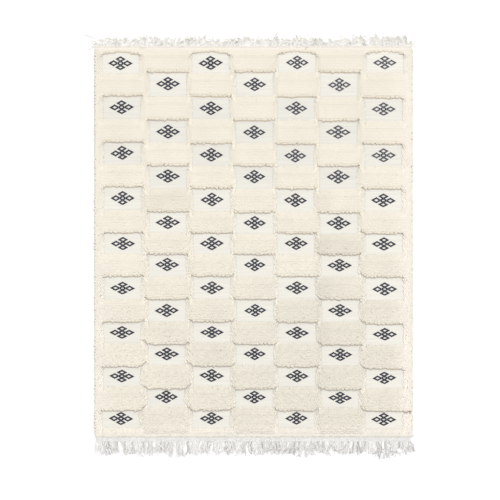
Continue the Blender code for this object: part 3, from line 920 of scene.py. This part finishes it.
def lozenge_spans(lozenge, down):
    """Where one weft row crosses a lozenge's line: half width times (1 − height share) for its outer and
    inner edge, so two spans, or one where the row passes over the hole's end."""
    across, middle, half_width, half_height = lozenge
    off = abs(down - middle)
    outer = (half_width + LINE_HALF_ACROSS) * (1 - off / (half_height + LINE_HALF_DOWN))
    inner = (half_width - LINE_HALF_ACROSS) * (1 - off / (half_height - LINE_HALF_DOWN))
    if outer < SHORTEST_FLOAT / 2:
        return []
    if inner < LEAST_GAP:
        return [(across - outer, across + outer)]
    return [(across - outer, across - inner), (across + inner, across + outer)]


def chart_figure():
    """The figure's floats as (start, end, down): on each weft row the lozenges' spans are joined where
    they overlap, then cut into equal floats no longer than the longest."""
    floats = []
    for step in range(-ROWS_EACH_WAY, ROWS_EACH_WAY + 1):
        down = step * FLOAT_PITCH
        spans = sorted(span for lozenge in LOZENGES for span in lozenge_spans(lozenge, down))
        joined = []
        for start, end in spans:
            if joined and start < joined[-1][1] + LEAST_GAP:
                joined[-1][1] = max(joined[-1][1], end)
            else:
                joined.append([start, end])
        for start, end in joined:
            parts = math.ceil((end - start) / LONGEST_FLOAT)
            cuts = np.linspace(start, end, parts + 1)
            floats += [(cuts[i], cuts[i + 1], down) for i in range(parts)]
    return np.array(floats)


figure = chart_figure()
print("floats in a figure:", len(figure), "and its width in mm:", round(1000 * np.ptp(figure[:, :2]), 1))

# %% [markdown]
# The dark wool is charcoal with a blue cast. Its floats are plump where they lie free and thin where
# they dive under, so each is a spindle that is widest in its middle.

# %% The charcoal yarn's material
FLOAT_STREAKS = (6.0, 250.0)  # around a float, and to a metre along it


def shade_between(tree, dark, light):
    """A colour between these two for each yarn, by its own shade."""
    shade = add_node(tree, "ShaderNodeAttribute", attribute_name="yarn_shade").outputs["Fac"]
    return add_node(tree, "ShaderNodeValToRGB", links={"Fac": shade}, stops=((0, dark), (1, light)))


def charcoal_material():
    """Near-black blue-grey wool: each float has its own shade, and streaks along it as bump."""
    material, tree, shader = new_fibre("dyed_charcoal_wool", 0.9, 0.15, 0.2)
    streaks = fibre_streaks(tree, *FLOAT_STREAKS)
    finish_fibre(tree, shader, shade_between(tree, "#262635", "#434353"), streaks, STREAK_DEPTH)
    return material


charcoal_wool = charcoal_material()
print("nodes in the charcoal yarn's material:", len(charcoal_wool.node_tree.nodes))

# %% Lay the figures into the windows
FLOAT_STATIONS = ((0.0, -0.0006), (0.18, 0.0005), (0.82, 0.0005), (1.0, -0.0006))  # share along, height
FLOAT_OVERLAP = 0.0006
FLOAT_HALF_WIDTH = 0.00190
WORN_THINNER, FRESH_PLUMPER = 0.00048, 0.00010  # what half a float's width loses and gains
FLOAT_HALF_HEIGHT = 0.0013
TILT, STRETCH, SHIFT = 1.1, 0.02, 0.0012  # the spreads of handwork, in degrees, as a share and in metres


def figure_points(random, across, down):
    """One figure's starts and ends of floats in its window, turned by up to 2 degrees, scaled by up to 4
    in a hundred and shifted by a millimetre or two, because each was woven by hand. Figures are narrower
    near the rug's middle line and flatter towards its bottom end."""
    tilt = math.radians(random.normal(0, TILT))
    wide, high = 1 + random.normal(0, STRETCH, 2)
    wide += 0.01 - 0.085 * math.exp(-(((across - 0.08) / 0.25) ** 2))
    high += 0.02 - 0.09 * smooth_step(down, 0.9, 1.9)
    x, y = figure[:, :2].T * wide, figure[:, 2] * high
    cosine, sine = math.cos(tilt), math.sin(tilt)
    turned = np.stack((x * cosine - y * sine, x * sine + y * cosine), -1)
    return turned + (across, down) + random.normal(0, SHIFT, 2)


def place_figures():
    """Every figure's floats, each a path of four stations. The yarn is worn thin and pale towards the
    top right corner, and a little plumper and darker at the bottom end."""
    random = np.random.default_rng(23)
    starts, ends = np.concatenate([figure_points(random, *window[2:]) for window in windows], axis=1)
    starts[:, 0] -= FLOAT_OVERLAP
    ends[:, 0] += FLOAT_OVERLAP
    along, above = np.array(FLOAT_STATIONS).T
    flat = starts[:, None] * (1 - along[:, None]) + ends[:, None] * along[:, None]
    paths = on_rug(flat[..., 0], flat[..., 1], above + GROUND_THICKNESS)
    across, down = starts.T
    worn = smooth_step(across, -0.4, 0.7) * (1 - smooth_step(down, 0.6, 1.0))
    fresh = smooth_step(down, 1.55, 1.8)
    half_widths = FLOAT_HALF_WIDTH - WORN_THINNER * worn + FRESH_PLUMPER * fresh
    half_widths = half_widths[:, None] * np.ones(2)
    half_heights = np.full(half_widths.shape, FLOAT_HALF_HEIGHT)
    shade = (0.6 - 0.25 * fresh) * random.random(len(paths)) + 0.8 * worn
    piece = spindles("lozenge_figures", paths, half_widths, half_heights, round_section(6), yarn_shade=shade)
    piece.data.materials.append(charcoal_wool)
    return piece


figures = place_figures()

# %% [markdown]
# ## The fringes
#
# The fringes are the ends of the cotton warp. At each end the warps are knotted into a narrow net, the
# heading, that holds the last wefts. Then they run free, plied in twos and threes, and lie on the floor
# in ragged clumps. At the bottom end they are about 90 mm long. At the top end they are shorter, curl
# more and lie over each other, and one thread has come loose at the left corner.
#
# Cotton is whiter and cooler than the wool, and it has yellowed a little at the top end. Its twist
# shows as fine slanting ridges. The yarn turns once in 5 mm, so the ridges are drawn at that pitch.

# %% The cotton's materials
TWIST_PITCH = 0.005
PLIES = 2


def cotton_material(name, grey, white):
    """Cotton whose yarns each have a shade between this grey and this white, the grey partly painted
    shade among the strands, and a bump of slanting ridges: the sine of the turns around plus the way
    along over the twist's pitch, once for each ply."""
    material, tree, shader = new_fibre(name, 0.9, 0.1, 0.25)
    lie = add_node(tree, "ShaderNodeUVMap", uv_map="lie")
    twist = {"Scale": (1, 1 / TWIST_PITCH, 1)}
    slanted = add_node(tree, "ShaderNodeMapping", inputs=twist, links={"Vector": lie})
    around, along, _ = add_node(tree, "ShaderNodeSeparateXYZ", links={"Vector": slanted}).outputs
    both = add_node(tree, "ShaderNodeMath", operation="ADD", links={0: around, 1: along})
    turns = add_node(
        tree, "ShaderNodeMath", operation="MULTIPLY", inputs={1: 2 * math.pi * PLIES}, links={0: both}
    )
    ridges = add_node(tree, "ShaderNodeMath", operation="SINE", links={0: turns})
    finish_fibre(tree, shader, shade_between(tree, grey, white), ridges, STREAK_DEPTH)
    return material


# The grey ends are partly painted shade: the dark between the strands of a fringe.
yellowed_cotton = cotton_material("yellowed_white_cotton", "#C6C3B8", "#FFFCF6")
washed_cotton = cotton_material("washed_white_cotton", "#B8B5B0", "#FDFBF8")
print("nodes in a cotton's material:", len(washed_cotton.node_tree.nodes))

# %% [markdown]
# Cotton yarn that has been twisted hard curls by itself when it is let go: its direction keeps turning
# as it goes. So a yarn's path is the running sum of short steps, and each step's direction is turned a
# little more than the last. Yarns of one bundle turn nearly alike and so form a lock, and the locks of
# one clump lean together. The yarns of the short fringe turn so far that they close into loops.

# %% Lay the fringe yarns
YARN_STATIONS = 22
YARN_HALF_WIDTH = 0.0020
FRINGE_HALF_WIDTH = 0.990
FLAT_TOPPED = 1.15 * round_section(4, start=math.pi / 4)
CORNER_REACH = 0.045
OUTERMOST_CLUMP, OUTERMOST_BUNDLE = 0.980, 0.987
CLUMP_SPREAD, BUNDLE_SPREAD, ROOT_SPREAD = 0.011, 0.0010, 0.0026
BUNDLE_STAGGER = 0.0015
ROOT_HEIGHT, ROOT_HEIGHT_SPREAD = 0.0022, 0.0012
WAVES, CRIMPS = 1.2, 4.2  # along a yarn
CRIMP = 0.8  # the largest turn of a crimp, in radians


def corner_turn(across, left, right):
    """How far the direction is turned at the two corners, fading within 45 mm of them."""
    from_left = np.exp(-(((across + FRINGE_HALF_WIDTH) / CORNER_REACH) ** 2))
    from_right = np.exp(-(((across - FRINGE_HALF_WIDTH) / CORNER_REACH) ** 2))
    return left * from_left + right * from_right


def heaped_heights(random, count, share, heaped):
    """How high each yarn lies: it sinks from its root to the floor or onto a heap, and bows up again in
    half sines towards its end."""
    heap = random.uniform(0, 1, count)[:, None] ** 1.5
    rest_up = YARN_HALF_WIDTH + heaped * heap
    start_up = ROOT_HEIGHT + ROOT_HEIGHT_SPREAD * random.random((count, 1))
    up = start_up + (rest_up - start_up) * smooth_step(share, 0.0, 0.45)
    up = up + heaped * 0.5 * np.abs(np.sin(math.pi * share * (1 + heap))) * share
    return np.maximum(up, YARN_HALF_WIDTH)


def fringe_yarns(
    name, node, cotton, seed, root_down, way, bundles, per_bundle, clumps, length_of, turns, lean, heaped,
    corners, shade, loose_thread=None
):
    """Yarns as spindles. Their direction, as an angle from straight out, is the sum of a lean towards the
    clump's middle that fades along the yarn, a drift, a curl times share^1.5, a wave and a fine crimp.
    turns holds the spread of drift, curl and wave, each as the clump's part, the bundle's and the yarn's
    own. A loose thread is the first yarn, bent from its first angle to its last, with its own length."""
    random = np.random.default_rng(seed)
    share = np.linspace(0, 1, YARN_STATIONS)
    clump_across = np.linspace(-OUTERMOST_CLUMP, OUTERMOST_CLUMP, clumps)
    clump_across = np.sort(clump_across + random.normal(0, CLUMP_SPREAD, clumps))
    bundle_across = np.linspace(-OUTERMOST_BUNDLE, OUTERMOST_BUNDLE, bundles)
    bundle_across = bundle_across + random.normal(0, BUNDLE_SPREAD, bundles)
    bundle_across = bundle_across + BUNDLE_STAGGER * (-1.0) ** np.arange(bundles)
    bundle = np.repeat(np.arange(bundles), per_bundle)
    clump = np.abs(bundle_across[:, None] - clump_across).argmin(axis=1)[bundle]
    count = len(bundle)

    def mixed(by_clump, by_bundle, own):
        """A random number for each yarn: its clump's, its bundle's and its own, with these spreads."""
        total = random.normal(0, by_clump, clumps)[clump] + random.normal(0, by_bundle, bundles)[bundle]
        return (total + random.normal(0, own, count))[:, None]

    root = (bundle_across[bundle] + random.normal(0, ROOT_SPREAD, count))[:, None]
    length = length_of(root) * (1 + mixed(0.08, 0.06, 0.05))
    lean = lean * (clump_across[clump][:, None] - root) / length
    drift, curl, wave = (mixed(*spreads) for spreads in turns)
    drift = drift + corner_turn(root, *corners) * (0.3 + 1.1 * share)
    phase = mixed(3.0, 0.7, 0.3)
    waves = WAVES + mixed(0.2, 0.1, 0.05)
    angle = 2 * lean * (1 - share) + drift + curl * share**1.5
    angle = angle + wave * np.sin(2 * math.pi * waves * share + phase) * share**0.5
    crimp = CRIMP * random.random(count)[:, None]
    angle = angle + crimp * np.sin(2 * math.pi * (CRIMPS + mixed(0.4, 0.4, 0.6)) * share + 3 * phase)
    if loose_thread:
        first, last, length[0] = loose_thread
        angle[0] = first + (last - first) * smooth_step(share, 0.3, 0.6)
    step = length / (YARN_STATIONS - 1)
    across = root + step * (np.cumsum(np.sin(angle), axis=1) - np.sin(angle[:, :1]))
    down = root_down + way * step * (np.cumsum(np.cos(angle), axis=1) - np.cos(angle[:, :1]))
    up = heaped_heights(random, count, share, heaped)
    half_widths = YARN_HALF_WIDTH * random.uniform(0.85, 1.15, count)[:, None] * np.ones(YARN_STATIONS - 2)
    # Each yarn's shade is partly its own tone and partly painted light and shade: the spread makes some yarns
    # grey as painted shade among the strands, and the change from root to end paints the fringe lighter and
    # darker along its length.
    at_root, at_end = shade
    shades = np.clip(at_root + (at_end - at_root) * share + mixed(0.05, 0.20, 0.28), 0, 1)
    paths = on_rug(across, down, up)
    piece = spindles(name, paths, half_widths, half_widths, FLAT_TOPPED, yarn_shade=shades)
    piece.data.materials.append(cotton)
    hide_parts(node)
    return piece


bottom_yarns = fringe_yarns(
    "fringe_bottom_yarns", "fringe_bottom", washed_cotton, seed=41,
    root_down=RUG_LENGTH + 0.026, way=1, bundles=160, per_bundle=4, clumps=36,
    length_of=lambda across: 0.090 + 0.004 * ripple(across, 0.4, 8),
    turns=((0.05, 0.20, 0.12), (0.20, 0.45, 0.40), (0.15, 0.45, 0.30)),
    lean=0.20, heaped=0.005, corners=(0.20, 0.22), shade=(0.65, 0.84),
)
top_yarns = fringe_yarns(
    "fringe_top_yarns", "fringe_top", yellowed_cotton, seed=43,
    root_down=-0.004, way=-1, bundles=190, per_bundle=3, clumps=60,
    length_of=lambda across: 0.074 + 0.009 * ripple(across, 0.5, 9) + 0.010 * smooth_step(across, 0.4, 0.95),
    turns=((0.12, 0.40, 0.30), (0.40, 1.80, 1.20), (0.30, 0.80, 0.60)),
    lean=0.3, heaped=0.004, corners=(-1.0, 0.10), shade=(1.25, 0.72), loose_thread=(-0.15, -1.3, 0.128),
)

# %% [markdown]
# The headings are narrow nets of cotton. The warps swing to the left and right, cross their neighbours
# and are knotted there, which leaves a small hole between each two crossings. Next to the cloth the net
# is plump and raised, where it is pulled up against the last rows of wool. At the bottom end it is wide
# and the floor shows through it. At the top end it is one mesh wide and lies on a band.

# %% Build the headings
NET_REACH = 0.016  # how far from the cloth the net is raised and plump
NET_HALF_WIDTH, NET_PLUMPNESS = 0.0015, 0.0010
NET_HALF_HEIGHT = 0.0013
NET_HEIGHT, NET_CROSSING = 0.0024, 0.0008  # of the yarns' middles, and how far one passes over another
NET_SPREAD_ACROSS, NET_SPREAD_DOWN = 0.0006, 0.0005
OUTERMOST_MESH = 0.989
BAND_THICKNESS = 0.0016
BAND_GRID = (0.02, 0.01)


def heading_net(name, node, cotton, seed, start, end, pitch, swing_length, raised):
    """Two yarns for each place along the edge. One swings to the left and one to the right, by half the
    pitch times (1 − cos) / 2 of the way down over the swing's length, so each meets its neighbours. Both
    are raised, and up to 1 mm wider on each side, where they leave the cloth."""
    random = np.random.default_rng(seed)
    places_along = np.arange(-OUTERMOST_MESH, OUTERMOST_MESH, pitch)
    count = len(places_along)
    share = np.linspace(0, 1, 2 + 4 * round(abs(end - start) / swing_length))
    down = np.broadcast_to(start + (end - start) * share, (2 * count, len(share)))
    from_cloth = np.abs(down - start)
    swing = 0.5 * pitch * (1 - np.cos(2 * math.pi * from_cloth / swing_length)) / 2
    side = np.repeat((-1.0, 1.0), count)[:, None]
    across = np.tile(places_along, 2)[:, None] + side * swing
    across = across + random.normal(0, NET_SPREAD_ACROSS, down.shape)
    up = NET_HEIGHT + NET_CROSSING * side * np.cos(math.pi * from_cloth / swing_length)
    up = up + raised * (1 - smooth_step(from_cloth, 0, NET_REACH))
    plump = 1 - smooth_step(from_cloth[:, 1:-1], 0.010, NET_REACH)
    piece = spindles(
        name,
        on_rug(across, down + random.normal(0, NET_SPREAD_DOWN, down.shape), up),
        NET_HALF_WIDTH + NET_PLUMPNESS * plump,
        np.full(plump.shape, NET_HALF_HEIGHT),
        FLAT_TOPPED,
        yarn_shade=np.clip(random.normal(0.9, 0.08, 2 * count), 0, 1),
    )
    piece.data.materials.append(cotton)
    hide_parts(node)
    return piece


def heading_band(name, node, cotton, start, end):
    """A flat band of cotton from start down to end."""
    band = closed_sheet(
        name,
        grid_line(-FRINGE_HALF_WIDTH, FRINGE_HALF_WIDTH, BAND_GRID[0]),
        grid_line(start, end, BAND_GRID[1]),
        lambda across, down: BAND_THICKNESS,
    )
    # The band has no yarn_shade, so it takes the cotton's grey end: painted shade where it shows through the
    # holes of the net over it.
    band.data.materials.append(cotton)
    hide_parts(node)
    return band


headings = [
    heading_net(
        "fringe_bottom_heading", "fringe_bottom", washed_cotton, seed=51,
        start=RUG_LENGTH + 0.0003, end=RUG_LENGTH + 0.032, pitch=0.0084, swing_length=0.016, raised=0.0010,
    ),
    heading_net(
        "fringe_top_heading", "fringe_top", yellowed_cotton, seed=53,
        start=-0.0003, end=-0.0095, pitch=0.0094, swing_length=0.009, raised=0.0055,
    ),
    heading_band("fringe_top_band", "fringe_top", yellowed_cotton, start=-0.008, end=-0.0003),
]

# %% [markdown]
# ## All the pieces
#
# The ground is one sheet of cloth, 2.00 by 2.45 m, flat and simply laid down. The pile, the figures
# and the fringes lie on it, and all their triangles are counted.

pieces = [ground, *pile, figures, bottom_yarns, top_yarns, *headings]
print("triangles in all:", sum(triangle_count(piece) for piece in pieces))

# %% [markdown]
# ## Floor, light and camera
#
# The rug is seen from straight above on a white floor, in soft light that comes from the top end and
# a little from the right: the blocks' lower edges have thin shadows. A white surrounding sky gives most
# of the light, and one broad sun lamp gives the direction.

# %% The floor
FLOOR_HALF_WIDTH = 40.0  # so that its edge never shows
UNDER_THE_RUG = 0.0002  # how far below it the floor lies, so that the two don't flicker

half = FLOOR_HALF_WIDTH
corners = [(-half, -half, 0), (half, -half, 0), (half, half, 0), (-half, half, 0)]
floor_mesh = bpy.data.meshes.new("floor")
floor_mesh.from_pydata(corners, [], [(0, 1, 2, 3)])
paint = {"Base Color": linear("#F8F8F8"), "Roughness": 0.9, "Specular IOR Level": 0.1}
floor_mesh.materials.append(new_material("white_painted_floor", paint)[0])
floor = bpy.data.objects.new("floor", floor_mesh)
bpy.context.scene.collection.objects.link(floor)
floor.location.z = cad_low.z - UNDER_THE_RUG
print("the floor lies at this height in mm:", round(1000 * floor.location.z, 1))

# %% The light
SKY_STRENGTH = 0.81
SUN_STRENGTH = 1.41
SUN_HEIGHT = math.radians(58)
SUN_ASIDE = math.radians(20)  # from the top end towards the right
SUN_BREADTH = math.radians(22)

world = bpy.data.worlds.new("studio")
world.use_nodes = True
world.node_tree.nodes["Background"].inputs["Color"].default_value = (1, 1, 1, 1)
world.node_tree.nodes["Background"].inputs["Strength"].default_value = SKY_STRENGTH
bpy.context.scene.world = world

sun_data = bpy.data.lights.new("window_light", "SUN")
sun_data.energy = SUN_STRENGTH
sun_data.angle = SUN_BREADTH
sun = bpy.data.objects.new("window_light", sun_data)
sun.rotation_euler = (-(math.pi / 2 - SUN_HEIGHT), 0, -SUN_ASIDE)
bpy.context.scene.collection.objects.link(sun)
print("sun in degrees above the floor:", round(math.degrees(SUN_HEIGHT)))

# %% The camera
PICTURE_WIDTH = 3.1390  # of the floor that the picture shows, across and down
PICTURE_LEFT_SHIFT = 0.0224
PICTURE_MIDDLE_DOWN = 1.275
CAMERA_HEIGHT = 12.0
SENSOR = 36.0

camera_data = bpy.data.cameras.new("camera")
camera_data.sensor_width = SENSOR
camera_data.lens = SENSOR * (CAMERA_HEIGHT - PILE_TOP) / PICTURE_WIDTH
print("lens in mm:", round(camera_data.lens, 1))
camera = bpy.data.objects.new("camera", camera_data)
camera.location = (MIDDLE_X - PICTURE_LEFT_SHIFT, TOP_Y - PICTURE_MIDDLE_DOWN, CAMERA_HEIGHT)
bpy.context.scene.collection.objects.link(camera)
bpy.context.scene.camera = camera
bpy.context.scene.view_settings.view_transform = "Standard"

# %% [markdown]
# ## The solids' size
#
# The solids' box is printed, in millimetres.

# %% Print the solids' box and finish
bpy.context.view_layer.update()
print("solid box in mm:", [round(1000 * x) for x in (*cad_low, *cad_high)])
